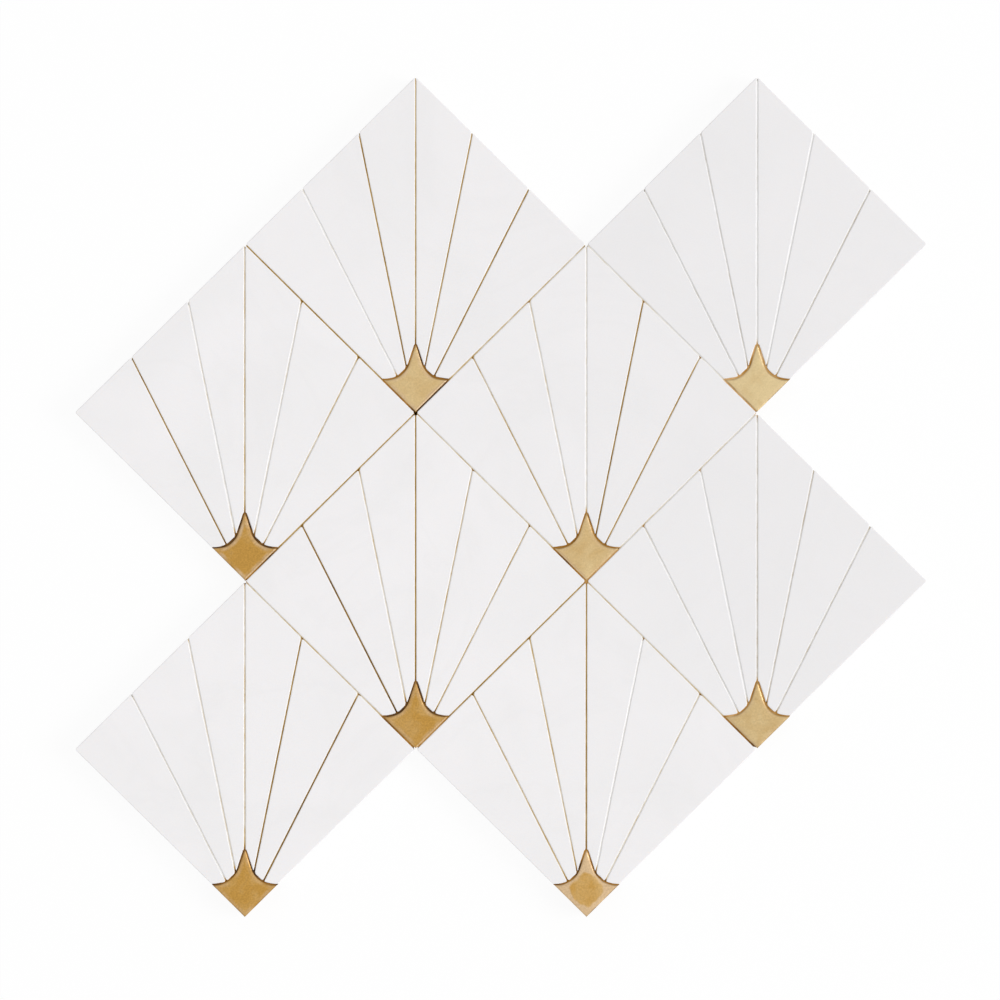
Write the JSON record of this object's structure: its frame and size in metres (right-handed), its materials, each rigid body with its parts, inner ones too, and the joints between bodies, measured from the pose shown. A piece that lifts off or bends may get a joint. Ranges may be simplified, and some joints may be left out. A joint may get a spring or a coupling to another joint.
{
  "type": "waterjet mosaic tile",
  "caption": "Mosaic sheet of interlocking diamond fans: white marble petals radiate from hollow-sided brass corner pieces, set with open joints on a net backing for walls and floors.",
  "frame": {"origin": "middle of the sheet's outline, on the underside of the net that it is bedded on", "axes": "+Z out of the finished face, +Y the way every fan opens, +X to the right in plan"},
  "size_m": [0.3038, 0.2996, 0.01],
  "materials": {
    "white_marble": "satin",
    "satin_brass": "satin",
    "fibre_net": "matte"
  },
  "bodies": {
    "root": {"fan_1_petal_1": "white_marble", "fan_1_petal_2": "white_marble", "fan_1_petal_3": "white_marble", "fan_1_petal_4": "white_marble", "fan_1_petal_5": "white_marble", "fan_1_petal_6": "white_marble", "fan_1_brass_hub": "satin_brass", "fan_2_petal_1": "white_marble", "fan_2_petal_2": "white_marble", "fan_2_petal_3": "white_marble", "fan_2_petal_4": "white_marble", "fan_2_petal_5": "white_marble", "fan_2_petal_6": "white_marble", "fan_2_brass_hub": "satin_brass", "fan_3_petal_1": "white_marble", "fan_3_petal_2": "white_marble", "fan_3_petal_3": "white_marble", "fan_3_petal_4": "white_marble", "fan_3_petal_5": "white_marble", "fan_3_petal_6": "white_marble", "fan_3_brass_hub": "satin_brass", "fan_4_petal_1": "white_marble", "fan_4_petal_2": "white_marble", "fan_4_petal_3": "white_marble", "fan_4_petal_4": "white_marble", "fan_4_petal_5": "white_marble", "fan_4_petal_6": "white_marble", "fan_4_brass_hub": "satin_brass", "fan_5_petal_1": "white_marble", "fan_5_petal_2": "white_marble", "fan_5_petal_3": "white_marble", "fan_5_petal_4": "white_marble", "fan_5_petal_5": "white_marble", "fan_5_petal_6": "white_marble", "fan_5_brass_hub": "satin_brass", "fan_6_petal_1": "white_marble", "fan_6_petal_2": "white_marble", "fan_6_petal_3": "white_marble", "fan_6_petal_4": "white_marble", "fan_6_petal_5": "white_marble", "fan_6_petal_6": "white_marble", "fan_6_brass_hub": "satin_brass", "fan_7_petal_1": "white_marble", "fan_7_petal_2": "white_marble", "fan_7_petal_3": "white_marble", "fan_7_petal_4": "white_marble", "fan_7_petal_5": "white_marble", "fan_7_petal_6": "white_marble", "fan_7_brass_hub": "satin_brass", "fan_8_petal_1": "white_marble", "fan_8_petal_2": "white_marble", "fan_8_petal_3": "white_marble", "fan_8_petal_4": "white_marble", "fan_8_petal_5": "white_marble", "fan_8_petal_6": "white_marble", "fan_8_brass_hub": "satin_brass", "backing_net": "fibre_net"}
  },
  "joints": []
}
